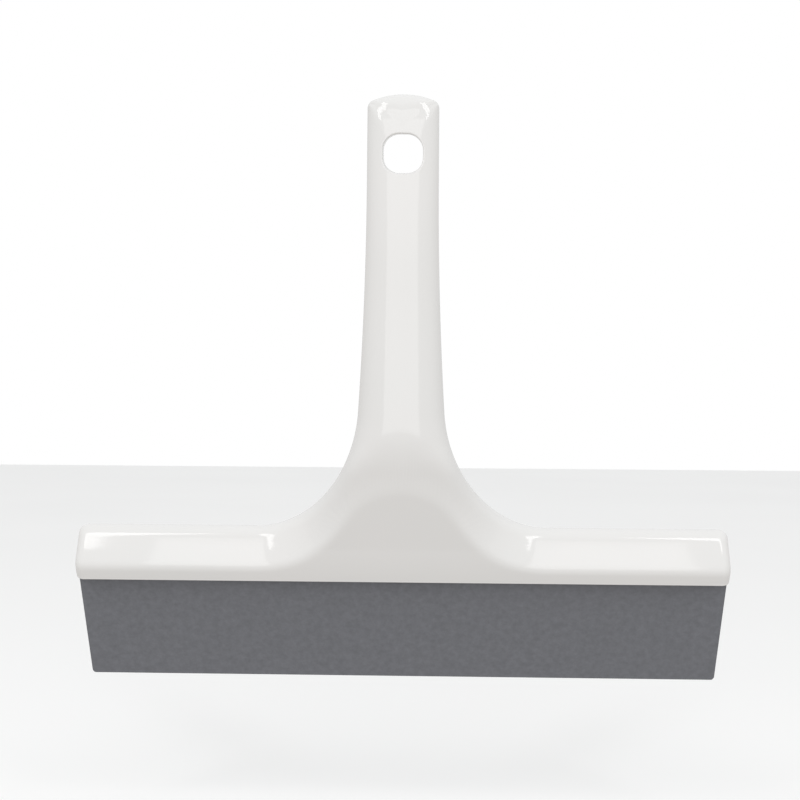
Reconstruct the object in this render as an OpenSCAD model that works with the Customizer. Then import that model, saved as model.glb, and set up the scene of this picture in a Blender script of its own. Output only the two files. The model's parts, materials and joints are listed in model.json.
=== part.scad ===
// Window squeegee: a two-shell plastic body with a wide head, a rubber blade that hangs from a
// channel inside the head, and a rounded-square hole at the top of the handle to hang it by.
// The frame: +Z runs up the handle, the front faces -Y, and the origin is the hang hole's centre.
// Inside the modules, heights are measured up from the head's front lip and stand() lowers them.

/* [Head] */
// Width of the head, end to end
head_w = 250; // [200:5:320]
// Height of the head's top edge above its front lip
head_h = 20.7; // [20:0.1:23]
// How far the rear face lies behind the front lip
head_d = 12.8; // [12:0.2:15]
// How far the lips rise from front to rear
lip_rise = 5; // [4.5:0.1:5.5]
// Radius of the head's outer corners, seen from the front
corner_r = 3.5; // [3:0.1:5]
// Lean of the blade and of the bell-shaped facet above it, in degrees
tilt = 24; // [20:0.5:26]

/* [Handle] */
// Height of the hang hole's centre above the front lip
hole_h = 162; // [150:0.5:200]
// Height of the handle's top above the hang hole's centre
above_hole = 22.4; // [20:0.1:28]
// Half of the handle's width at the grip
grip_half = 13.5; // [13:0.1:16]
// Half of the handle's thickness at the neck
neck_half_t = 10.2; // [9.5:0.1:11]
// How much wider each side gets in the flare between handle and head
flare_w = 36.5; // [32:0.5:42]
// Height of the flare above the head
flare_h = 44; // [40:0.5:50]
// How far the handle leans back from neck to top
lean = 3; // [0:0.5:5]
// Width and height of the hang hole
hole_w = 15; // [13:0.5:16]
// Corner radius of the hang hole
hole_r = 6.1; // [4:0.1:6.4]
// How far the hang hole rises towards the back, in degrees
hole_tilt = 12.5; // [0:0.5:15]

/* [Blade] */
// Width of the blade just under the lip
blade_w = 249.6; // [199.6:1:319.6]
// Length of the blade below the lip, along the blade
blade_l = 47.7; // [30:0.1:55]
// Thickness of the blade at the lip
blade_t = 4.4; // [3.6:0.1:4.6]
// Thickness of the blade at its wiping edge
edge_t = 2.2; // [1.4:0.1:3]
// Radius of the bead that the blade hangs from
bead_r = 2.4; // [2.2:0.05:2.5]

/* [Build] */
// Wall thickness of the shells
wall = 2.2; // [1.8:0.1:2.4]
// Radial clearance between the bead and its channel
bead_gap = 0.05; // [0.03:0.01:0.09]
// Facets of a full circle
$fn = 64; // [32:8:96]

/* [Hidden] */

half_w = head_w / 2;
top_z = hole_h + above_hole;
// The front lip's place behind the hole's centre, which puts the handle's middle over the hole
lip_y = 8;
// Where the blade's middle plane and its bead lie, square to the blade and along it
blade_u = 7;
bead_v = 6;
bead_y = lip_y + blade_u * cos(tilt) - bead_v * sin(tilt);
bead_z = blade_u * sin(tilt) + bead_v * cos(tilt);
// Top corners and top arc of the handle
top_corner_r = 3.2;
top_arc_r = 30;
// Stretch of the handle over which it widens towards the neck
taper = 2.3;
taper_top = 150;
taper_l = 80;
// The front's rounded band: its depth, the swell round the flare, and its widths
band_d = 9.6;
band_swell = 0.9;
head_band = 14.6;
flare_band = 10.6;
// Softness of the crease between band and facet, and how much softer it gets up the handle
crease_r = 1.6;
crease_soft = 3.5;
// Share of the band's depth that lies in its rounded outer edge, along the head
edge_share = 0.35;
// Channel and its fastening flange
rail_l = head_w - 10;
rail_r = 3.1;
bead_l = rail_l - 4;
stop_t = 1.6;
slot_half = 0.9;
swing = 19;
flange_y = [lip_y + 7, lip_y + 9];
flange_z = [8, 17.2];
web_h = 2.2;
// Screws
screw_z = 14.6;
screw_r = 1.25;
screw_head_r = 2.4;
cap_r = 3;
cap_t = 1.2;
cap_rim = 0.8;
cap_rim_t = 0.6;
boss_r = 2.4;
rail_screw_x = [-60, 0, 60];
head_screw_x = [-95, 95];
handle_screw_z = [66, 102, 138];
fit = 0.05;
// Blade between its bead and the lip
neck_t = 1.4;
shoulder_h = 1.6;
// Wall around the hang hole
hole_wall = 1.6;
// Width of the back's rounded edge along the head
back_band = 6;
// How far short of the outline the skins' middle lines stop, at the ends of the lip and at the top
lip_end = 10;
spine_end = 7;
// Notches under the end walls: how wide and high, and how far below the bead they are centred
notch_w = 9.6;
notch_h = 20;
notch_v = 14.5;
// Thickness of the screws' heads, the space above them, and the arms of their crosses
screw_head_t = 1.6;
head_gap = 0.4;
cross_l = 2.8;
cross_w = 0.6;
// Fractions of the way from the outline in to the middle, closer together where the edge rounds
ROWS = [0, 0.012, 0.04, 0.09, 0.16, 0.25, 0.36, 0.48, 0.62, 0.8, 1];

// ---- Curves that shape the body ----

function unit(t) = min(1, max(0, t));
function ease(a, b, t) = let (u = unit((t - a) / (b - a))) u * u * (3 - 2 * u);
function quarter(t) = sqrt(1 - pow(1 - unit(t), 2));
function crown(t) = sqrt(1 - pow(1 - unit(t), 3));
function soft_max(a, b, r) = let (h = max(r - abs(a - b), 0) / r) max(a, b) + h * h * r / 4;

// Half of the body's width at a height above the head's top edge
function side_x(z) =
    let (t = max(0, (taper_top - z) / taper_l), q = unit((head_h + flare_h - z) / flare_h))
    grip_half + taper * t * t + flare_w * (1 - sqrt(1 - q * q));

// The middle of the handle, which leans back towards the top and crosses y = 0 at the hole
function arch(z) = pow(max(0, z - 75) / (top_z - 75), 2);
function handle_y(z) = lean * (arch(z) - arch(hole_h));
function half_t(z) = neck_half_t - 2.2 * ease(45, 110, z) - 2 * ease(120, top_z, z);

// The back in side view, and the line on the sides where the two shells meet
function back_y(z) =
    let (m = ease(10, 58, z)) (1 - m) * (lip_y + head_d) + m * (handle_y(z) + half_t(z));
function back_round(z) = let (m = ease(16, 52, z)) (1 - m) * 4 + m * half_t(z);
function part_y(z) = back_y(z) - back_round(z);

// Depth of the front's rounded band, and its width from the outline in to the crease, which
// narrows round the flare and then takes in the whole handle
function band_depth(z) = (band_d + band_swell * ease(21, 31, z)) * half_t(z) / neck_half_t;
function band_w(z) =
    head_band + (flare_band - head_band) * ease(22, 36, z)
    + (side_x(max(z, head_h)) - flare_band) * ease(43, 57, z);

// ---- Outline of the body, right half, from the end of the lip to the middle of the top ----

top_corner_z = top_z - top_arc_r
    + sqrt(pow(top_arc_r - top_corner_r, 2) - pow(grip_half - top_corner_r, 2));
top_turn = asin((grip_half - top_corner_r) / (top_arc_r - top_corner_r));

function end_edge(lip_z) = [for (z = [lip_z : (head_h - corner_r - lip_z) / 3 : head_h - corner_r - 1])
    [half_w, z]];
function head_corner() = [for (a = [0 : 18 : 90])
    [half_w - corner_r + corner_r * cos(a), head_h - corner_r + corner_r * sin(a)]];
function head_top() = let (a = half_w - corner_r, b = side_x(head_h))
    [for (i = [1 : 9]) [a + (b - a) * i / 9, head_h]];
function flare() = [for (a = [7.5 : 7.5 : 90])
    let (z = head_h + flare_h * (1 - cos(a))) [side_x(z), z]];
function handle_side() = let (a = head_h + flare_h, b = top_corner_z)
    [for (i = [1 : 14]) let (z = a + (b - a) * i / 14) [side_x(z), z]];
function top_corner() = [for (i = [1 : 4]) let (a = (90 - top_turn) * i / 4)
    [grip_half - top_corner_r + top_corner_r * cos(a), top_corner_z + top_corner_r * sin(a)]];
function top_arc() = [for (i = [1 : 5]) let (a = top_turn * (1 - i / 5))
    [top_arc_r * sin(a), top_z - top_arc_r + top_arc_r * cos(a)]];

function outline(lip_z) = concat(end_edge(lip_z), head_corner(), head_top(), flare(),
    handle_side(), top_corner(), top_arc());

// The line that the grid runs in to, with a point for each station of the outline: first in
// along the lip to the middle, then up the middle of the handle
lip_stations = len(concat(end_edge(0), head_corner(), head_top())) + 3;
function middle_line(lip_z) =
    let (o = outline(lip_z), turn = o[lip_stations])
    [for (i = [0 : len(o) - 1])
        i <= lip_stations
        ? [(half_w - lip_end) * (o[i][0] - turn[0]) / (half_w - turn[0]) * (1 - 0.05 * o[i][1] / head_h),
            lip_z]
        : [0, lip_z + (top_z - spine_end - lip_z) * pow((o[i][1] - turn[1]) / (top_z - turn[1]), 0.9)]];

function normal_in(o, i) =
    let (n = len(o),
         t = i == 0 ? [0, 1] : i == n - 1 ? [-1, 0] : o[i + 1] - o[i - 1])
    [-t[1], t[0]] / norm(t);
function inset_outline(o, w) = [for (i = [0 : len(o) - 1]) o[i] + w * normal_in(o, i)];

// The stretch of outline that the rounded edge follows, without the flat ends of the head
rim = concat([[half_w + 2, head_h]], head_top(), flare(), handle_side(), top_corner(), top_arc(),
    [[-1, top_z - 0.02]]);
function foot(p, a, b) =
    let (ab = b - a, t = unit(((p - a) * ab) / (ab * ab)), q = a + t * ab) [norm(p - q), q[1]];
function nearest(p, i = 0, best = [1e9, 0]) =
    i > len(rim) - 2 ? best
    : let (f = foot([abs(p[0]), p[1]], rim[i], rim[i + 1]))
        nearest(p, i + 1, f[0] < best[0] ? f : best);

// Height that sets the body's depth at a point: its own on the grip, else its nearest rim point's
function edge_z(p, f) = p[1] > taper_top ? p[1] : f[1];

// ---- Surfaces: y at a point [x, z] of the front view, moved inwards by inset ----

function end_round(x, inset) =
    let (r = corner_r - inset / 2) r * (1 - quarter((half_w - inset - abs(x)) / r));
function front_y(p, inset) =
    let (f = nearest(p), d = max(0, f[0] - inset), zn = edge_z(p, f),
         w = band_w(zn) - inset,
         m = ease(24, 50, zn),
         head = edge_share * quarter(d / (corner_r + 0.5)) + (1 - edge_share) * d / w,
         shape = (1 - m) * head + m * crown(d / w),
         upper = part_y(zn) - (band_depth(zn) - inset) * shape,
         facet = lip_y - p[1] * tan(tilt) + inset / cos(tilt),
         soft = crease_r + crease_soft * ease(28, 42, p[1]))
    min(soft_max(upper, facet, soft) + end_round(p[0], inset), part_y(zn) - 0.02 + d);
function rear_y(p, inset) =
    let (f = nearest(p), d = max(0, f[0] - inset), zn = edge_z(p, f),
         w = back_band + (side_x(max(zn, head_h)) - back_band) * ease(24, 60, zn) - inset,
         deep = back_y(p[1]) - inset - part_y(zn))
    max(part_y(zn) + deep * crown(d / w) - end_round(p[0], inset), part_y(zn) + 0.02 - d);

// ---- A shell as one closed skin: outer grid, inner grid, and the rims between them ----

function mix(a, b, t) = a + (b - a) * t;
function skin_points(o, mid, front, inset, stations) =
    [for (i = [0 : len(o) - 1]) for (j = [0 : len(ROWS) - 1])
        let (p = mix(o[i], mid[i], ROWS[j]))
        [p[0],
         j == 0 ? part_y(max(stations[i][1], head_h)) : front ? front_y(p, inset) : rear_y(p, inset),
         p[1]]];
function quad(a, b, c, d, flip) = flip ? [[a, d, b], [b, d, c]] : [[a, b, d], [b, c, d]];
// A cell of the grid, cut along the diagonal that keeps triangles off the straight middle lines
function cell(i, a, rows, flip) =
    i < lip_stations ? quad(a, a + rows, a + rows + 1, a + 1, flip)
    : quad(a + rows, a + rows + 1, a + 1, a, flip);

module shell_skin(front) {
    lip_z = front ? 0 : lip_rise;
    o = outline(lip_z);
    mid = middle_line(lip_z);
    n = len(o);
    rows = len(ROWS);
    half = 2 * n * rows;
    inner = n * rows;
    right = concat(skin_points(o, mid, front, 0, o),
        skin_points(inset_outline(o, wall), mid, front, wall, o));
    points = concat(right, [for (p = right) [-p[0], p[1], p[2]]]);
    lip_edge = concat([for (j = [0 : rows - 2]) [j, j + 1]],
        [for (i = [0 : lip_stations - 1]) [(i + 1) * rows - 1, (i + 2) * rows - 1]]);
    one_side = concat(
        [for (i = [0 : n - 2]) for (j = [0 : rows - 2]) each cell(i, i * rows + j, rows, !front)],
        [for (i = [0 : n - 2]) for (j = [0 : rows - 2]) each cell(i, inner + i * rows + j, rows, front)],
        [for (i = [0 : n - 2])
            let (a = i * rows) each quad(a, inner + a, inner + a + rows, a + rows, front)],
        [for (e = lip_edge) each quad(e[0], e[1], inner + e[1], inner + e[0], front)]);
    other_side = [for (f = one_side)
        [for (k = [2, 1, 0]) abs(right[f[k]][0]) < 0.0001 ? f[k] : f[k] + half]];
    polyhedron(points, concat(one_side, other_side), convexity = 8);
}

// ---- Placing ----

// Lowers a sub-part drawn above the lip so that the hang hole's centre is the origin
module stand() { translate([0, 0, -hole_h]) children(); }
// Draws children in the blade's own frame: X along the head, Y square to the blade, Z up along it
module blade_frame() {
    translate([0, bead_y, bead_z]) rotate([tilt, 0, 0]) children();
}
// A cylinder along +Y from y0 to y1
module bar_y(x, z, r, y0, y1) { translate([x, y1, z]) rotate([90, 0, 0]) cylinder(r = r, h = y1 - y0); }

module squircle(w, r) {
    square([w, w - 2 * r], center = true);
    square([w - 2 * r, w], center = true);
    for (x = [-1, 1], y = [-1, 1]) translate([x, y] * (w / 2 - r)) circle(r);
}
// The hang hole's outline, grown and run right through the handle
module hole_prism(grow) {
    translate([0, 0, hole_h]) rotate([90 + hole_tilt, 0, 0]) linear_extrude(4 * neck_half_t, center = true)
        squircle(hole_w + 2 * grow, hole_r + grow);
}

// The hang hole's wall, from just inside the front skin to just short of the back
module hole_tube() {
    y0 = front_y([0, hole_h], 0) + wall / 2;
    y1 = back_y(hole_h) - 0.4;
    size = hole_w + 4 * hole_wall;
    intersection() {
        hole_prism(hole_wall);
        translate([-size / 2, y0, hole_h - size]) cube([size, y1 - y0, 2 * size]);
    }
}

// ---- Screws ----

// Where the caps' undersides and the screw heads lie under the back, at a height
function cap_y(z) = back_y(z) - cap_t;
function head_y(z) = cap_y(z) - screw_head_t - head_gap;

module screw(x, z, y_tip, y_head) {
    difference() {
        union() {
            bar_y(x, z, screw_r, y_tip, y_head + 0.5);
            bar_y(x, z, screw_head_r, y_head, y_head + screw_head_t);
        }
        for (a = [0, 90]) translate([x, y_head + screw_head_t, z]) rotate([0, a, 0])
            cube([cross_l, screw_head_t, cross_w], center = true);
    }
}
// Places of the screws that join the shells, as [x, z]
joins = concat([for (x = head_screw_x) [x, screw_z]], [for (z = handle_screw_z) [0, z]]);
function front_boss_end(p) = p[0] == 0 ? part_y(p[1]) : flange_y[0];
function rear_boss_end(p) = p[0] == 0 ? part_y(p[1]) : flange_y[1];

// Opening for the blade's ends between the two lips, under each end wall
module end_notches() {
    for (side = [-1, 1]) blade_frame()
        translate([side * half_w, 0, -notch_v]) cube([4 * wall, notch_w, notch_h], center = true);
}

// ---- Sub-parts ----

module front_shell() {
    color([0.87, 0.865, 0.85]) stand() difference() {
        union() {
            shell_skin(true);
            hole_tube();
            for (p = joins) bar_y(p[0], p[1], boss_r, front_y(p, 0) + wall / 2, front_boss_end(p));
        }
        hole_prism(0);
        for (p = joins) bar_y(p[0], p[1], screw_r + fit, front_y(p, 0) + wall, front_boss_end(p) + 1);
        end_notches();
    }
}

module rear_shell() {
    color([0.85, 0.845, 0.83]) stand() difference() {
        union() {
            shell_skin(false);
            for (p = joins) bar_y(p[0], p[1], boss_r + 1, rear_boss_end(p), back_y(p[1]) - wall / 2);
            for (x = rail_screw_x) bar_y(x, screw_z, boss_r, flange_y[1], back_y(screw_z) - wall / 2);
        }
        hole_prism(hole_wall + fit);
        for (p = joins) {
            bar_y(p[0], p[1], screw_r + 2 * fit, rear_boss_end(p) - 1, back_y(p[1]));
            bar_y(p[0], p[1], cap_r + fit, head_y(p[1]), back_y(p[1]) + 2);
            bar_y(p[0], p[1], cap_r + cap_rim + fit, back_y(p[1]), back_y(p[1]) + 2);
        }
        for (x = rail_screw_x)
            bar_y(x, screw_z, screw_r + fit, flange_y[1] - 1, back_y(screw_z) - 1);
        end_notches();
    }
}

module blade() {
    color([0.42, 0.42, 0.44]) stand() blade_frame() rotate([90, 0, 90]) {
        linear_extrude(bead_l, center = true) {
            circle(bead_r);
            translate([-neck_t / 2, -bead_v + 1]) square([neck_t, bead_v - 1]);
        }
        linear_extrude(rail_l + 4, center = true)
            translate([-blade_t / 2, -bead_v]) square([blade_t, shoulder_h]);
        linear_extrude(blade_w, center = true) polygon([
            [-blade_t / 2, -bead_v], [-edge_t / 2, -bead_v - blade_l],
            [edge_t / 2, -bead_v - blade_l], [blade_t / 2, -bead_v]]);
    }
}

module blade_rail() {
    slot_end = slot_half + (rail_r + 1) * tan(swing);
    color("silver") stand() difference() {
        rotate([90, 0, 90]) linear_extrude(rail_l, center = true) difference() {
            union() {
                translate([bead_y, bead_z]) circle(rail_r);
                translate([bead_y, bead_z]) square([flange_y[0] - bead_y + 0.5, web_h]);
                translate([flange_y[0], flange_z[0]])
                    square([flange_y[1] - flange_y[0], flange_z[1] - flange_z[0]]);
            }
            translate([bead_y, bead_z]) circle(bead_r + bead_gap);
            translate([bead_y, bead_z]) rotate(tilt) polygon([
                [-slot_half, 0], [-slot_end, -rail_r - 1], [slot_end, -rail_r - 1], [slot_half, 0]]);
        }
        for (x = concat(rail_screw_x, head_screw_x))
            bar_y(x, screw_z, screw_r + 2 * fit, flange_y[0] - 1, flange_y[1] + 1);
    }
}

// A disc over the end of the channel, with a peg in its bore
module end_stop(side) {
    color("gainsboro") stand() translate([side * rail_l / 2, bead_y, bead_z]) rotate([0, side * 90, 0]) {
        cylinder(r = rail_r - 0.2, h = stop_t);
        translate([0, 0, -1.5]) cylinder(r = bead_r, h = 2);
    }
}
module left_end_stop() { end_stop(-1); }
module right_end_stop() { end_stop(1); }

module rail_screws() {
    color("lightslategray") stand() for (x = rail_screw_x)
        mirror([0, 1, 0]) screw(x, screw_z, -(back_y(screw_z) - 1.2), -flange_y[0]);
}

module shell_screws() {
    color("lightslategray") stand() for (p = joins)
        screw(p[0], p[1], front_y(p, 0) + wall + fit, head_y(p[1]));
}

module screw_caps() {
    color([0.87, 0.865, 0.85]) stand() for (p = joins) {
        bar_y(p[0], p[1], cap_r, cap_y(p[1]) + fit, back_y(p[1]) + cap_rim_t);
        bar_y(p[0], p[1], cap_r + cap_rim, back_y(p[1]), back_y(p[1]) + cap_rim_t);
    }
}

front_shell();
rear_shell();
blade();
blade_rail();
left_end_stop();
right_end_stop();
rail_screws();
shell_screws();
screw_caps();
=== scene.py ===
"""Window squeegee: a glossy white body in two shells and a matte grey rubber blade.

Lengths are worked out in millimetres, with heights measured up from the front lip of the head,
and to_frame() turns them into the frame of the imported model.
"""

import json
import math

import bmesh
import bpy
import numpy as np
from mathutils import Euler, Matrix, Vector


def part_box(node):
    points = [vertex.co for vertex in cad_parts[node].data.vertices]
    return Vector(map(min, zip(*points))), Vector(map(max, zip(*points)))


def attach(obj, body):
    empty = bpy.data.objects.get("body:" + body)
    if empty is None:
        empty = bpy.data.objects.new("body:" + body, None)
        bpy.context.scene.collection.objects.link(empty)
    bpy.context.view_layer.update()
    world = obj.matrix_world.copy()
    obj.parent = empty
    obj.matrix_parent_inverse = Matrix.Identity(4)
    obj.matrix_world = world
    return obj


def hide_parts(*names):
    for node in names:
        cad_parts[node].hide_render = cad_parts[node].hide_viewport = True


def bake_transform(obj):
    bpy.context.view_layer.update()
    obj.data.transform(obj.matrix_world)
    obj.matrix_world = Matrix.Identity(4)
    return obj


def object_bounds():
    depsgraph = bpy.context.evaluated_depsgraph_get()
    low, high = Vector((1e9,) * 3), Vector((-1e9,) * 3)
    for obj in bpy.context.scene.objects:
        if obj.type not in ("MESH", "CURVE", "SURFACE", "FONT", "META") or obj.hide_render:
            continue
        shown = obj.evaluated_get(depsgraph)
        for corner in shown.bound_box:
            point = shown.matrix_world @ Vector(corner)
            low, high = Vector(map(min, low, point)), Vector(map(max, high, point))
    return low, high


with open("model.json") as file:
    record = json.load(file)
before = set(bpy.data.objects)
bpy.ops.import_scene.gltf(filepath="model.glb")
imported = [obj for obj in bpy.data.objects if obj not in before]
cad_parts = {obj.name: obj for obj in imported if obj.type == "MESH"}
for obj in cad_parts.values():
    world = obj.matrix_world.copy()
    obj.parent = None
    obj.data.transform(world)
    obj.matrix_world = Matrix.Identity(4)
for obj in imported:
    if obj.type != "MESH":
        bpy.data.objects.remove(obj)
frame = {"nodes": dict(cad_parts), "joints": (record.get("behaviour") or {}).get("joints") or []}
cad_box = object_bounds()

# ---------------------------------------------------------------- sizes, from the frame

MM = 0.001


def span(node, axis):
    """A node's lowest and highest coordinate along an axis, in millimetres."""
    low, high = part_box(node)
    return low[axis] / MM, high[axis] / MM


HALF_W = span("front_shell", 0)[1]
LIP_AT = span("front_shell", 2)[0]  # height of the front lip in the frame
HOLE_H = -LIP_AT  # the hang hole's centre is the frame's origin
TOP_Z = span("front_shell", 2)[1] - LIP_AT
REAR_LIP = span("rear_shell", 2)[0] - LIP_AT
BLADE_HALF_W = span("blade", 0)[1]
JOINT = frame["joints"][0]
BEAD_Y = JOINT["pos_m"][1] / MM
BEAD_Z = JOINT["pos_m"][2] / MM - LIP_AT

HEAD_H = 20.7
CORNER_R = 3.5
WALL = 2.2
LIP_Y = 8.0
HEAD_D = 12.8
TILT = math.radians(24)
BEAD_V = 6.0
GRIP_HALF = 13.5
NECK_HALF_T = 10.2
FLARE_W = 36.5
FLARE_H = 44.0
TAPER, TAPER_TOP, TAPER_L = 2.3, 150.0, 80.0
LEAN = 3.0
HOLE_HALF = 7.5
HOLE_R = 6.1
HOLE_WALL = 1.6
HOLE_GAP = 0.1
HOLE_TILT = math.radians(12.5)  # the hang hole rises towards the back
TOP_CORNER_R = 3.2
TOP_ARC_R = 30.0
BLADE_T, EDGE_T, BLADE_L = 4.4, 2.2, 47.7
BLADE_CORNER = 1.5
BEAD_R = 2.35
NECK_HALF = 0.7
LEAN_FROM = 75.0  # height where the handle starts to lean back
SLOT_DROP = 4.0  # how far the seam lies in front of the back, at the head
BAND_D, BAND_SWELL = 9.6, 0.9
HEAD_BAND, FLARE_BAND = 14.6, 10.6
CREASE_R, CREASE_SOFT = 1.6, 3.5
EDGE_SHARE = 0.35
BACK_BAND = 6.0

# ---------------------------------------------------------------- curves that shape the body


def unit(t):
    return np.clip(t, 0.0, 1.0)


def ease(a, b, t):
    u = unit((t - a) / (b - a))
    return u * u * (3 - 2 * u)


def quarter(t):
    return np.sqrt(1 - (1 - unit(t)) ** 2)


def crown(t):
    return np.sqrt(1 - (1 - unit(t)) ** 3)


def soft_max(a, b, r):
    h = np.maximum(r - np.abs(a - b), 0) / r
    return np.maximum(a, b) + h * h * r / 4


def side_x(z):
    """Half of the body's width at a height above the head's top edge."""
    t = np.maximum(0, (TAPER_TOP - z) / TAPER_L)
    q = unit((HEAD_H + FLARE_H - z) / FLARE_H)
    return GRIP_HALF + TAPER * t * t + FLARE_W * (1 - np.sqrt(1 - q * q))


def arch(z):
    return (np.maximum(0, z - LEAN_FROM) / (TOP_Z - LEAN_FROM)) ** 2


def handle_y(z):
    return LEAN * (arch(z) - arch(HOLE_H))


def half_t(z):
    return NECK_HALF_T - 2.2 * ease(45, 110, z) - 2 * ease(120, TOP_Z, z)


def back_y(z):
    m = ease(10, 58, z)
    return (1 - m) * (LIP_Y + HEAD_D) + m * (handle_y(z) + half_t(z))


def part_y(z):
    """The line on the body's sides where the two shells meet."""
    m = ease(16, 52, z)
    return back_y(z) - (1 - m) * SLOT_DROP - m * half_t(z)


def band_depth(z):
    return (BAND_D + BAND_SWELL * ease(21, 31, z)) * half_t(z) / NECK_HALF_T


def band_w(z):
    wide = side_x(np.maximum(z, HEAD_H))
    narrow = HEAD_BAND - (HEAD_BAND - FLARE_BAND) * ease(22, 36, z)
    return narrow + (wide - FLARE_BAND) * ease(43, 57, z)


# ---------------------------------------------------------------- outline of the body


def arc(centre, radius, start, stop, count):
    a = np.radians(np.linspace(start, stop, count))
    return np.stack([centre[0] + radius * np.cos(a), centre[1] + radius * np.sin(a)], 1)


# stations along each stretch of the outline
END_N, CORNER_N, TOP_N, FLARE_N, SIDE_N = 14, 9, 83, 90, 99


def outline(lip_z):
    """Right half of the outline as [x, z], from the end of the lip to the middle of the top."""
    corner = (HALF_W - CORNER_R, HEAD_H - CORNER_R)
    end = np.stack([np.full(END_N, HALF_W), np.linspace(lip_z, corner[1], END_N + 1)[:-1]], 1)
    turn = arc(corner, CORNER_R, 0, 90, CORNER_N)
    top = np.linspace(corner[0], side_x(HEAD_H), TOP_N + 1)[1:]
    top = np.stack([top, np.full(len(top), HEAD_H)], 1)
    z = HEAD_H + FLARE_H * (1 - np.cos(np.radians(np.linspace(0, 90, FLARE_N + 1)[1:])))
    flare = np.stack([side_x(z), z], 1)
    inner_r, drop = TOP_ARC_R - TOP_CORNER_R, GRIP_HALF - TOP_CORNER_R
    corner_z = TOP_Z - TOP_ARC_R + math.sqrt(inner_r**2 - drop**2)
    bend = math.degrees(math.asin(drop / inner_r))
    z = np.linspace(HEAD_H + FLARE_H, corner_z, SIDE_N + 1)[1:]
    side = np.stack([side_x(z), z], 1)
    bend_arc = arc((drop, corner_z), TOP_CORNER_R, 0, 90 - bend, 8)[1:]
    over = arc((0, TOP_Z - TOP_ARC_R), TOP_ARC_R, 90 - bend, 90, 14)[1:]
    parts = [end, turn, top, flare, side, bend_arc, over]
    points = np.concatenate(parts)
    points[-1, 0] = 0.0
    return points


LIP_STATIONS = END_N + CORNER_N + TOP_N + 34  # stations whose grid lines run in to the lip
SIDE_END = END_N + CORNER_N + TOP_N + FLARE_N + SIDE_N - 1  # last station before the top corner


def middle_line(points, lip_z):
    """Where the grid line from each station ends: along the lip, then up the handle's middle."""
    x, z = points[:, 0], points[:, 1]
    turn, top = points[LIP_STATIONS], points[SIDE_END]
    on_lip = np.arange(len(points)) <= LIP_STATIONS
    lip_x = (HALF_W - 10) * (x - turn[0]) / (HALF_W - turn[0]) * (1 - 0.05 * z / HEAD_H)
    up = z - (turn[1] - lip_z) * (1 - ease(turn[1], 120, z))
    up = np.where(z > top[1], top[1] + 0.35 * (z - top[1]), up)
    return np.stack([np.where(on_lip, lip_x, 0), np.where(on_lip, lip_z, up)], 1)


def normals_in(points):
    t = np.gradient(points, axis=0)
    t[0], t[-1] = (0, 1), (-1, 0)
    n = np.stack([-t[:, 1], t[:, 0]], 1)
    return n / np.linalg.norm(n, axis=1, keepdims=True)


BASE = outline(0.0)
PAST_DROP = 0.017  # fall of the top's arc 1 mm past the middle
# the rim runs past the end wall and past the middle, so that both have a nearest point
RIM = np.concatenate([[[HALF_W + 2, HEAD_H]], BASE[END_N + CORNER_N - 1 :], [[-1, TOP_Z - PAST_DROP]]])


def nearest(p):
    """Distance from points [x, z] to the rim, and the height of the nearest rim point."""
    q = np.abs(p[:, 0]), p[:, 1]
    a, ab = RIM[:-1], RIM[1:] - RIM[:-1]
    length2 = (ab**2).sum(1)
    best, height = np.empty(len(p)), np.empty(len(p))
    for s in range(0, len(p), 4000):
        x, z = q[0][s : s + 4000, None], q[1][s : s + 4000, None]
        t = unit(((x - a[:, 0]) * ab[:, 0] + (z - a[:, 1]) * ab[:, 1]) / length2)
        fz = a[:, 1] + t * ab[:, 1]
        d2 = (a[:, 0] + t * ab[:, 0] - x) ** 2 + (fz - z) ** 2
        i = d2.argmin(1)
        rows = np.arange(len(i))
        best[s : s + 4000] = np.sqrt(d2[rows, i])
        height[s : s + 4000] = fz[rows, i]
    x, z = q
    to_side = side_x(z) - x
    to_top = TOP_ARC_R - np.hypot(x, z - TOP_Z + TOP_ARC_R)
    reach = 1.5 * best + 1e-9
    dip = (np.maximum(reach - np.abs(to_side - to_top), 0) / reach) ** 2 * reach / 4
    on_grip = z > TAPER_TOP
    return np.where(on_grip, best - dip, best), np.where(on_grip, z, height)


# ---------------------------------------------------------------- surfaces of the shells


def hole_z(front, inset=0.0):
    """Height of the hang hole's centre where it meets a shell's skin."""
    y = (half_t(HOLE_H) - inset) * (-1 if front else 1)
    return HOLE_H + y * math.tan(HOLE_TILT)


def squircle_distance(p, half, r, centre):
    """Signed distance from points [x, z] to the rounded square around the hang hole."""
    q = np.abs(p - [0, centre]) - (half - r)
    outside = np.linalg.norm(np.maximum(q, 0), axis=1)
    return outside + np.minimum(q.max(1), 0) - r


def hole_round(p, grow, radius, centre):
    """How far a surface falls away as it rolls into the hang hole."""
    away = squircle_distance(p, HOLE_HALF + grow, HOLE_R + grow, centre)
    return radius * (1 - quarter(away / radius))


def end_round(x, inset):
    r = CORNER_R - inset / 2
    return r * (1 - quarter((HALF_W - inset - np.abs(x)) / r))


def front_y(p, inset=0.0):
    f, zn = nearest(p)
    d = np.maximum(0, f - inset)
    w = band_w(zn) - inset
    m = ease(24, 50, zn)
    head = EDGE_SHARE * quarter(d / (CORNER_R + 0.5)) + (1 - EDGE_SHARE) * d / w
    upper = part_y(zn) - (band_depth(zn) - inset) * ((1 - m) * head + m * crown(d / w))
    facet = LIP_Y - p[:, 1] * math.tan(TILT) + inset / math.cos(TILT)
    softness = CREASE_R + CREASE_SOFT * ease(28, 42, p[:, 1])
    y = soft_max(upper, facet, softness) + end_round(p[:, 0], inset)
    if inset == 0:
        y = y + hole_round(p, 0, 0.6, hole_z(True))
    return np.minimum(y, part_y(zn) + d)


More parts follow.
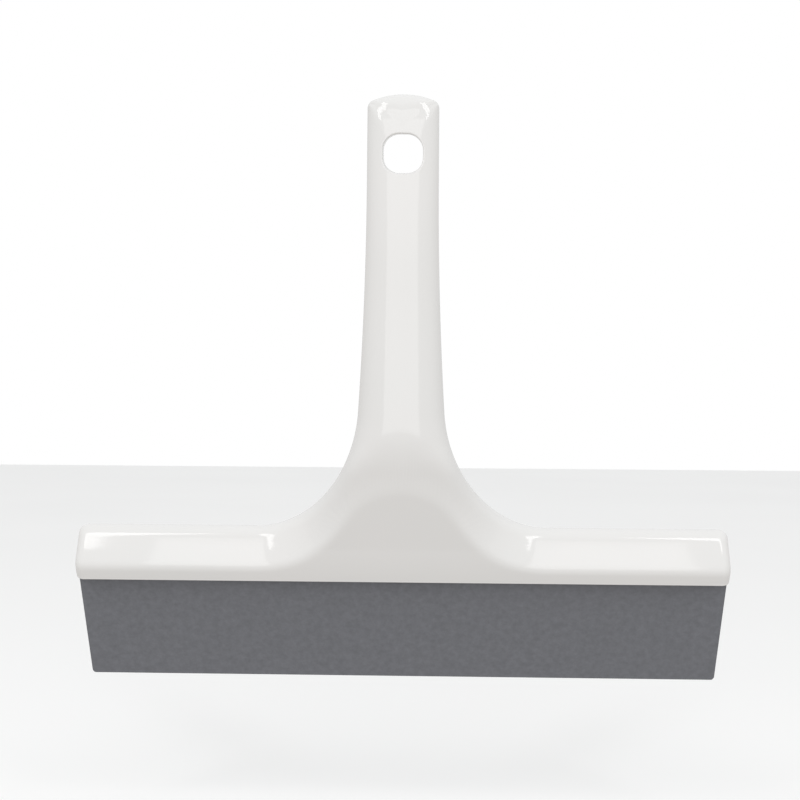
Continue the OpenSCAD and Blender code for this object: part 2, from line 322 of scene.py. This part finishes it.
def rear_y(p, inset=0.0):
    f, zn = nearest(p)
    d = np.maximum(0, f - inset)
    w = BACK_BAND + (side_x(np.maximum(zn, HEAD_H)) - BACK_BAND) * ease(24, 60, zn) - inset
    deep = back_y(p[:, 1]) - inset - part_y(zn)
    y = part_y(zn) + deep * crown(d / w) - end_round(p[:, 0], inset)
    if inset == 0:
        y = y - hole_round(p, HOLE_WALL + HOLE_GAP, 0.25, hole_z(False))
    return np.maximum(y, part_y(zn) - d)


# ---------------------------------------------------------------- mesh building


def lift(p, y):
    return np.stack([p[..., 0], y, p[..., 1]], -1)


def surface(fn, p, inset=0.0):
    flat = p.reshape(-1, 2)
    return lift(p, fn(flat, inset).reshape(p.shape[:-1]))


class Skin:
    """Collects patches of quads, mirrors them, and welds them into one mesh."""

    def __init__(self):
        self.patches = []

    def add(self, grid, flip=False, mirror=True):
        self.patches.append((grid, flip))
        if mirror:
            self.patches.append((grid * [-1, 1, 1], not flip))

    def build(self, name, move=None):
        points, quads, base = [], [], 0
        for grid, flip in self.patches:
            n, m = grid.shape[:2]
            idx = base + np.arange(n * m).reshape(n, m)
            q = np.stack([idx[:-1, :-1], idx[1:, :-1], idx[1:, 1:], idx[:-1, 1:]], -1)
            quads.append(q.reshape(-1, 4)[:, ::-1] if flip else q.reshape(-1, 4))
            points.append(grid.reshape(-1, 3))
            base += n * m
        points, quads = np.concatenate(points), np.concatenate(quads)
        _, first, back = np.unique(
            np.round(points * 5000).astype(np.int64), axis=0, return_index=True, return_inverse=True
        )
        back = back.ravel()
        points, quads = points[first], back[quads]
        if move is not None:
            points = move(points)
        faces = []
        for q in quads.tolist():
            f = [v for k, v in enumerate(q) if v != q[k - 1]]
            if len(set(f)) >= 3:
                faces.append(f)
        return make_mesh(name, points, faces)


def to_frame(points):
    return (points + [0, 0, LIP_AT]) * MM


def make_mesh(name, points, faces):
    mesh = bpy.data.meshes.new(name)
    mesh.from_pydata(to_frame(np.asarray(points, float)).tolist(), [], faces)
    mesh.validate()
    obj = bpy.data.objects.new(name, mesh)
    bpy.context.scene.collection.objects.link(obj)
    mesh.shade_smooth()
    return obj


def row_fractions(length=25.0):
    """Fractions of the way in from the outline, close together where the edge is rounded."""
    fine = 3.5 * (np.arange(14) / 13) ** 2
    coarse = np.linspace(3.5, length, 41)[1:]
    return np.concatenate([fine, coarse]) / length


ROWS = row_fractions()
SEAM = 0.12  # half width and depth of the groove between the shells
LIP_ROUND = 0.5


def lip_slope(front):
    """Tips the lips square to the blade, and raises the end walls clear of it."""

    def move(points):
        x, y, z = points.T
        lip_y = LIP_Y if front else LIP_Y + HEAD_D
        low = 0.0 if front else REAR_LIP
        rise = (y - lip_y) * math.tan(TILT)
        u = (y - LIP_Y) * math.cos(TILT) + (low + rise) * math.sin(TILT)
        notch = ease(2.2, 3.6, u) * (1 - ease(10.4, 11.8, u)) * ease(HALF_W - 4.5, HALF_W - 3.2, np.abs(x))
        fade = 1 - unit((z - low) / 13.0)
        return np.stack([x, y, z + (rise + 1.7 * notch) * fade], 1)

    return move


def lip_path(a, b, steps=5):
    """Rounded lip from the outer skin's edge a to the inner skin's edge b."""
    across = (b - a) * [1, 1, 0]
    across /= np.maximum(np.linalg.norm(across, axis=-1, keepdims=True), 1e-9)
    down = np.array([0.0, 0.0, -1.0])
    rows = []
    for k in np.linspace(0, 90, steps):
        s, c = math.sin(math.radians(k)), math.cos(math.radians(k))
        rows.append(a + LIP_ROUND * ((1 - c) * across + s * down))
    for k in np.linspace(90, 0, steps):
        s, c = math.sin(math.radians(k)), math.cos(math.radians(k))
        rows.append(b + LIP_ROUND * (-(1 - c) * across + s * down))
    return np.stack(rows, 1)


WINDOW = 13.0  # half the height of the stretch of handle that the hang hole's own grid fills


def window_loop(outer, mid, lo, hi):
    """The edge of the window as a closed loop of [x, z], anticlockwise from its lower right."""
    rows = [outer[i] + (mid[i] - outer[i]) * ROWS[:, None] for i in (lo, hi)]
    right = outer[lo : hi + 1]
    flip = np.array([-1.0, 1.0])
    top = np.concatenate([rows[1], rows[1][-2::-1] * flip])[1:]
    left = (right * flip)[::-1][1:]
    bottom = np.concatenate([rows[0] * flip, rows[0][-2::-1]])[1:]
    return np.concatenate([right, top, left, bottom])


def ring_points(loop, half, r, centre):
    """Points of the rounded square on the lines from its centre to the loop's points."""
    ray = loop - [0, centre]
    ray = ray / np.linalg.norm(ray, axis=1, keepdims=True)
    low, high = np.full(len(ray), half * 0.8), np.full(len(ray), half * 1.5)
    for _ in range(40):
        t = (low + high) / 2
        inside = squircle_distance(ray * t[:, None] + [0, centre], half, r, centre) < 0
        low, high = np.where(inside, t, low), np.where(inside, high, t)
    return ray * high[:, None] + [0, centre]


def hole_fractions():
    """Fractions from the window's edge to the hole, close together at both ends."""
    return np.concatenate([0.5 * (np.arange(12) / 11) ** 2, 1 - 0.5 * (np.arange(13) / 13)[::-1] ** 2])


def hole_tube(a, b):
    """The hang hole's wall, from the front skin's ring a through to the back and round to ring b."""
    slope = math.tan(HOLE_TILT)
    rim = 0.35
    end = back_y(HOLE_H) - 0.1
    middle = HOLE_H + (end - rim) * slope

    def at(ring, y, grow=0.0):
        x, z = ring[:, 0], ring[:, 2] + (end - rim - ring[:, 1]) * slope
        size = 1 + grow / HOLE_HALF
        return np.stack([x * size, y, middle + (z - middle) * size + (y - end + rim) * slope], 1)

    rows = [a]
    rows += [at(a, a[:, 1] + (end - rim - a[:, 1]) * share) for share in (0.15, 0.4, 0.7, 1.0)]
    turn = [(math.sin(k), 1 - math.cos(k)) for k in np.radians([30, 60, 90])]
    flat = np.ones(len(a))
    rows += [at(a, flat * (end - rim + rim * s), rim * c) for s, c in turn]
    rows += [at(b, flat * (end - rim + rim * s), -rim * c) for s, c in turn[::-1]]
    rows += [at(b, flat * (end - rim)), b]
    return np.stack(rows, 1)


def shell(front):
    """One of the body's two shells, as a closed thin-walled skin."""
    fn = front_y if front else rear_y
    low = 0.0 if front else REAR_LIP
    outer = outline(low)
    mid = middle_line(outer, low)
    # the grid stops a lip's rounding above the lip itself
    outer_grid = outer.copy()
    outer_grid[:END_N, 1] += LIP_ROUND * (1 - np.linspace(0, 1, END_N))
    mid_grid = mid.copy()
    mid_grid[: LIP_STATIONS + 1, 1] += LIP_ROUND
    inner = outer_grid + WALL * normals_in(outer)
    lo = int(np.abs(outer[: SIDE_END, 1] - (HOLE_H - WINDOW)).argmin())
    hi = int(np.abs(outer[: SIDE_END, 1] - (HOLE_H + WINDOW)).argmin())
    skin = Skin()
    seam_y = part_y(np.maximum(outer[:, 1], HEAD_H))
    sign = -1.0 if front else 1.0
    edges = {}
    for side, edge, inset in (("outer", outer_grid, 0.0), ("inner", inner, WALL)):
        p = edge[:, None] + (mid_grid - edge)[:, None] * ROWS[None, :, None]
        grid = surface(fn, p, inset)
        if side == "outer":
            # the first row drops from the outline into the groove between the shells
            grid[:, 0, 1] = seam_y + sign * SEAM
            groove = grid[:, :1].copy()
            groove[:, 0, :] = lift(outer_grid + SEAM * normals_in(outer), seam_y + sign * 0.02)
            grid = np.concatenate([groove, grid], 1)
        else:
            grid[:, 0, 1] = seam_y + sign * 0.02
            grid = np.concatenate([grid[:, :1], grid], 1)
        edges[side] = grid
        turned = (side == "inner") != (not front)
        skin.add(grid[: lo + 1], flip=turned)
        skin.add(grid[hi:], flip=turned)
        grow = HOLE_WALL + HOLE_GAP if not front else 0 if side == "outer" else HOLE_WALL
        loop = window_loop(edge, mid_grid, lo, hi)
        ring = ring_points(loop, HOLE_HALF + grow, HOLE_R + grow, hole_z(front, inset))
        t = hole_fractions()
        p = loop[:, None] + (ring - loop)[:, None] * t[None, :, None]
        patch = surface(fn, p, inset)
        on_grid = np.concatenate([grid[lo : hi + 1, 1], grid[hi, 2:], (grid[hi, 1:-1] * [-1, 1, 1])[::-1]])
        count = len(on_grid)
        patch[:count, 0] = on_grid
        rest = np.concatenate(
            [(grid[lo : hi, 1] * [-1, 1, 1])[::-1], grid[lo, 2:] * [-1, 1, 1], grid[lo, 1:-1][::-1]]
        )
        patch[count:, 0] = rest[: len(loop) - count]
        closed = np.concatenate([patch, patch[:1]])
        skin.add(closed, flip=turned, mirror=False)
        edges[side + "_ring"] = closed[:, -1]
        if side == "outer":
            fill = np.stack([grid[lo : hi + 1, 0], grid[lo : hi + 1, 1]], 1)
            skin.add(fill, flip=turned)
    # faces between the shells, along the seam
    skin.add(np.stack([edges["outer"][:, 0], edges["inner"][:, 0]], 1), flip=front)
    # lip, from the seam at the end wall to the middle
    a = np.concatenate([edges["outer"][0, :], edges["outer"][1 : LIP_STATIONS + 1, -1]])
    b = np.concatenate([edges["inner"][0, :], edges["inner"][1 : LIP_STATIONS + 1, -1]])
    lip = lip_path(a, b)
    skin.add(lip, flip=front)
    # wall of the hang hole
    a, b = edges["outer_ring"], edges["inner_ring"]
    if front:
        skin.add(hole_tube(a, b), mirror=False, flip=False)
    else:
        skin.add(np.stack([a, a + (b - a) * 0.5, b], 1), mirror=False, flip=True)
    obj = skin.build("white_front_shell" if front else "white_rear_shell", lip_slope(front))
    cap_lip_start(obj)
    return obj


def cap_lip_start(obj):
    """Fills the half-moons where the lip starts at the seam."""
    bm = bmesh.new()
    bm.from_mesh(obj.data)
    loose = [e for e in bm.edges if len(e.link_faces) == 1]
    bmesh.ops.holes_fill(bm, edges=loose, sides=40)
    bmesh.ops.recalc_face_normals(bm, faces=bm.faces)
    bm.to_mesh(obj.data)
    bm.free()
    obj.data.shade_smooth()
    obj.data.set_sharp_from_angle(angle=math.radians(50))


# ---------------------------------------------------------------- blade


def blade_profile():
    """Half-thickness t at depths v below the bead's centre, from the neck down to the wiping edge."""
    top, bottom = -BEAD_V + 1.4, -BEAD_V - BLADE_L
    edge = bottom + BLADE_CORNER * np.array([1.2, 1, 0.75, 0.5, 0.3, 0.15, 0.05, 0])
    v = np.concatenate([[top], np.linspace(-BEAD_V, bottom + 2.2, 40), edge])
    share = unit((-BEAD_V - v) / BLADE_L)
    t = (BLADE_T + (EDGE_T - BLADE_T) * share) / 2
    t[-2] -= 0.1
    t[-1] -= 0.3
    return t, v


def rubber_blade():
    """The blade as one closed skin: bead, neck and the long tapered lip."""
    t, v = blade_profile()
    bead = [(BEAD_R * math.sin(a), BEAD_R * math.cos(a)) for a in np.radians(np.linspace(0, 160, 17))]
    right = bead + [(NECK_HALF, -BEAD_V + 1.7)] + list(zip(t, v))
    loop = right + [(-a, b) for a, b in right[::-1]][:-1]
    loop = np.array(loop)
    inner_half = span("blade_rail", 0)[1] + 1.8
    count = len(loop)

    low = (BLADE_L + BEAD_V + loop[:, 1]) / BLADE_CORNER
    round_in = BLADE_CORNER * (1 - quarter(low))
    half = np.where(loop[:, 1] > -BEAD_V + 0.01, inner_half, BLADE_HALF_W - round_in)
    shares = np.concatenate([[-1], np.linspace(-0.9985, 0.9985, 121), [1]])
    cos, sin = math.cos(TILT), math.sin(TILT)
    rings = []
    for s in shares:
        shrink = 0.25 if abs(s) == 1 else 0.0
        u = loop[:, 0] - np.sign(loop[:, 0]) * np.minimum(shrink, np.abs(loop[:, 0]) * 0.5)
        w = loop[:, 1]
        x = s * half
        y = BEAD_Y + u * cos - w * sin
        z = BEAD_Z + u * sin + w * cos
        rings.append(np.stack([x, y, z], 1))
    points = np.concatenate(rings)
    faces = []
    for i in range(len(rings) - 1):
        for k in range(count):
            n = (k + 1) % count
            faces.append([i * count + k, i * count + n, (i + 1) * count + n, (i + 1) * count + k])
    last = (len(rings) - 1) * count
    for start, order in ((0, 1), (last, -1)):
        # ends as strips between the front and the rear face
        for k in range(count // 2):
            a, b = start + k, start + (k + 1)
            c, d = start + (count - k - 1) % count, start + (count - k) % count
            f = [a, d, c, b] if order == 1 else [a, b, c, d]
            f = [q for j, q in enumerate(f) if q != f[j - 1]]
            if len(set(f)) >= 3:
                faces.append(f)
    obj = make_mesh("rubber_blade", points, faces)
    bm = bmesh.new()
    bm.from_mesh(obj.data)
    bmesh.ops.recalc_face_normals(bm, faces=bm.faces)
    bm.to_mesh(obj.data)
    bm.free()
    obj.data.shade_smooth()
    obj.data.set_sharp_from_angle(angle=math.radians(35))
    return obj


# ---------------------------------------------------------------- materials


def linear(c):
    return c / 12.92 if c <= 0.04045 else ((c + 0.055) / 1.055) ** 2.4


def srgb(r, g, b):
    return tuple(linear(c / 255) for c in (r, g, b)) + (1.0,)


class Nodes:
    """Short calls for building a material's node tree."""

    def __init__(self, name):
        self.material = bpy.data.materials.new(name)
        self.material.use_nodes = True
        self.tree = self.material.node_tree
        self.shader = self.tree.nodes["Principled BSDF"]
        self.place = self.tree.nodes.new("ShaderNodeTexCoord").outputs["Object"]

    def noise(self, scale, detail=3.0, roughness=0.5):
        n = self.tree.nodes.new("ShaderNodeTexNoise")
        n.inputs["Scale"].default_value = scale
        n.inputs["Detail"].default_value = detail
        n.inputs["Roughness"].default_value = roughness
        self.tree.links.new(self.place, n.inputs["Vector"])
        return n.outputs["Fac"]

    def spread(self, value, low, high, start=0.3, stop=0.7):
        n = self.tree.nodes.new("ShaderNodeMapRange")
        for key, v in (("From Min", start), ("From Max", stop), ("To Min", low), ("To Max", high)):
            n.inputs[key].default_value = v
        self.tree.links.new(value, n.inputs["Value"])
        return n.outputs["Result"]

    def between(self, value, a, b):
        n = self.tree.nodes.new("ShaderNodeMix")
        n.data_type = "RGBA"
        self.tree.links.new(value, n.inputs["Factor"])
        n.inputs["A"].default_value = a
        n.inputs["B"].default_value = b
        return n.outputs["Result"]

    def bump(self, value, strength, distance):
        n = self.tree.nodes.new("ShaderNodeBump")
        n.inputs["Strength"].default_value = strength
        n.inputs["Distance"].default_value = distance
        self.tree.links.new(value, n.inputs["Height"])
        self.tree.links.new(n.outputs["Normal"], self.shader.inputs["Normal"])

    def set(self, key, value):
        socket = self.shader.inputs[key]
        if isinstance(value, bpy.types.NodeSocket):
            self.tree.links.new(value, socket)
        else:
            socket.default_value = value


def white_plastic():
    n = Nodes("white_plastic")
    tone = n.spread(n.noise(14, 2), 0, 1)
    n.set("Base Color", n.between(tone, srgb(230, 230, 229), srgb(232, 231, 230)))
    n.set("Roughness", n.spread(n.noise(60, 4), 0.04, 0.065))
    n.set("IOR", 1.5)
    n.bump(n.noise(300, 2), 0.006, 0.0002)
    return n.material


def grey_rubber():
    n = Nodes("grey_rubber")
    mottle = n.spread(n.noise(420, 5, 0.7), 0, 1)
    n.set("Base Color", n.between(mottle, srgb(110, 112, 117), srgb(123, 125, 131)))
    n.set("Roughness", n.spread(n.noise(150, 4), 0.72, 0.86))
    n.set("Specular IOR Level", 0.35)
    n.bump(n.noise(2600, 3, 0.6), 0.25, 0.0001)
    return n.material


def metal(name, colour, rough):
    n = Nodes(name)
    darker = tuple(c * 0.92 for c in colour[:3]) + (1,)
    n.set("Base Color", n.between(n.spread(n.noise(200, 3), 0, 1), colour, darker))
    n.set("Metallic", 1.0)
    n.set("Roughness", n.spread(n.noise(500, 3), rough, rough + 0.1))
    n.bump(n.noise(1800, 2), 0.05, 0.0001)
    return n.material


def inner_plastic():
    n = Nodes("inner_plastic")
    n.set("Base Color", n.between(n.spread(n.noise(80, 3), 0, 1), srgb(196, 196, 194), srgb(204, 204, 202)))
    n.set("Roughness", n.spread(n.noise(300, 3), 0.4, 0.5))
    n.bump(n.noise(1500, 2), 0.05, 0.0001)
    return n.material


def paint(obj, material):
    obj.data.materials.clear()
    obj.data.materials.append(material)


# ---------------------------------------------------------------- camera, floor and light

CAMERA_AT = (10, -430, 65)  # millimetres, height above the lip
CAMERA_TURN = (1.4, 0.6, 0.4)  # degrees of yaw, pitch and roll
LENS = 51.7  # focal length in millimetres on a 36 mm sensor


def make_camera():
    camera = bpy.data.objects.new("camera", bpy.data.cameras.new("camera"))
    camera.data.sensor_width = 36.0
    camera.data.lens = LENS
    camera.data.clip_start = 0.01
    camera.location = Vector(to_frame(np.array([CAMERA_AT]))[0])
    yaw, pitch, roll = (math.radians(a) for a in CAMERA_TURN)
    camera.rotation_euler = Euler((math.pi / 2 + pitch, 0, yaw))
    camera.rotation_euler.rotate_axis("Z", roll)
    bpy.context.scene.collection.objects.link(camera)
    bpy.context.scene.camera = camera


def make_floor():
    z = cad_box[0][2] - 0.06
    mesh = bpy.data.meshes.new("floor")
    s = 3.0
    mesh.from_pydata([(-s, -s, z), (s, -s, z), (s, s, z), (-s, s, z)], [], [(0, 1, 2, 3)])
    floor = bpy.data.objects.new("floor", mesh)
    bpy.context.scene.collection.objects.link(floor)
    n = Nodes("floor_paint")
    n.set("Base Color", n.between(n.spread(n.noise(2, 2), 0, 1), srgb(250, 250, 250), srgb(252, 252, 252)))
    n.set("Roughness", 0.9)
    paint(floor, n.material)
    floor.visible_diffuse = False
    floor.visible_glossy = False


def make_world():
    """Soft light that is warmer and dimmer from below, behind a plain white background."""
    world = bpy.data.worlds.new("studio")
    bpy.context.scene.world = world
    world.use_nodes = True
    tree = world.node_tree
    tree.nodes.clear()
    out = tree.nodes.new("ShaderNodeOutputWorld")
    soft = tree.nodes.new("ShaderNodeBackground")
    seen = tree.nodes.new("ShaderNodeBackground")
    seen.inputs["Color"].default_value = (1, 1, 1, 1)
    height = tree.nodes.new("ShaderNodeSeparateXYZ")
    tree.links.new(tree.nodes.new("ShaderNodeTexCoord").outputs["Generated"], height.inputs[0])
    ramp = tree.nodes.new("ShaderNodeValToRGB")
    ramp.color_ramp.elements[0].color = (0.635, 0.612, 0.59, 1)
    ramp.color_ramp.elements[1].color = (0.87, 0.875, 0.875, 1)
    rise = tree.nodes.new("ShaderNodeMapRange")
    rise.inputs["From Min"].default_value = -0.5
    rise.inputs["From Max"].default_value = 0.5
    tree.links.new(height.outputs["Z"], rise.inputs["Value"])
    tree.links.new(rise.outputs["Result"], ramp.inputs["Fac"])
    tree.links.new(ramp.outputs["Color"], soft.inputs["Color"])
    path = tree.nodes.new("ShaderNodeLightPath")
    mix = tree.nodes.new("ShaderNodeMixShader")
    tree.links.new(path.outputs["Is Camera Ray"], mix.inputs["Fac"])
    tree.links.new(soft.outputs[0], mix.inputs[1])
    tree.links.new(seen.outputs[0], mix.inputs[2])
    tree.links.new(mix.outputs[0], out.inputs["Surface"])


def area_light(name, place, aim, size, radiance):
    """A rectangular softbox, in metres, that faces the aim point."""
    light = bpy.data.lights.new(name, "AREA")
    light.shape = "RECTANGLE"
    light.size, light.size_y = size
    light.energy = radiance * math.pi * size[0] * size[1]
    obj = bpy.data.objects.new(name, light)
    back = (Vector(place) - Vector(aim)).normalized()
    side = Vector((0, 0, 1)).cross(back).normalized()
    turn = Matrix((side, back.cross(side), back)).transposed()
    obj.matrix_world = Matrix.Translation(place) @ turn.to_4x4()
    obj.visible_camera = False
    bpy.context.scene.collection.objects.link(obj)


def toward(azimuth, elevation):
    """Unit vector: azimuth 0 is straight out of the front, positive to +X."""
    a, e = math.radians(azimuth), math.radians(elevation)
    return Vector((math.sin(a) * math.cos(e), -math.cos(a) * math.cos(e), math.sin(e)))


# ---------------------------------------------------------------- put together

make_camera()
make_floor()
make_world()

white, grey = white_plastic(), grey_rubber()
steel = metal("zinc_steel", (0.6, 0.61, 0.63, 1), 0.3)
aluminium = metal("rail_aluminium", (0.8, 0.8, 0.8, 1), 0.35)
plain = inner_plastic()

front_piece = shell(True)
rear_piece = shell(False)
for piece, node in ((front_piece, "front_shell"), (rear_piece, "rear_shell")):
    paint(piece, white)
    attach(piece, "handle")
    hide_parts(node)

blade_piece = rubber_blade()
paint(blade_piece, grey)
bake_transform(blade_piece)
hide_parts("blade")

nodes = frame["nodes"]
for node, material in (
    ("blade_rail", aluminium),
    ("left_end_stop", plain),
    ("right_end_stop", plain),
    ("rail_screws", steel),
    ("shell_screws", steel),
    ("screw_caps", white),
):
    paint(nodes[node], material)
bevel = nodes["screw_caps"].modifiers.new("edge", "BEVEL")
bevel.width = 0.0003
bevel.segments = 3
bevel.limit_method = "ANGLE"

centre = Vector((0, 0, -95 * MM))
# an ordinary studio set: one large soft key and a softbox high on each side
centre = Vector((0, 0, -95 * MM))
area_light("key", centre + toward(0, 20) * 1.2, centre, (0.8, 0.8), 1.3)
area_light("left_softbox", centre + toward(-30, 45) * 1.5, centre, (0.2, 0.6), 4)
area_light("right_softbox", centre + toward(30, 45) * 1.5, centre, (0.2, 0.6), 4)

bpy.context.scene.view_settings.view_transform = "Standard"
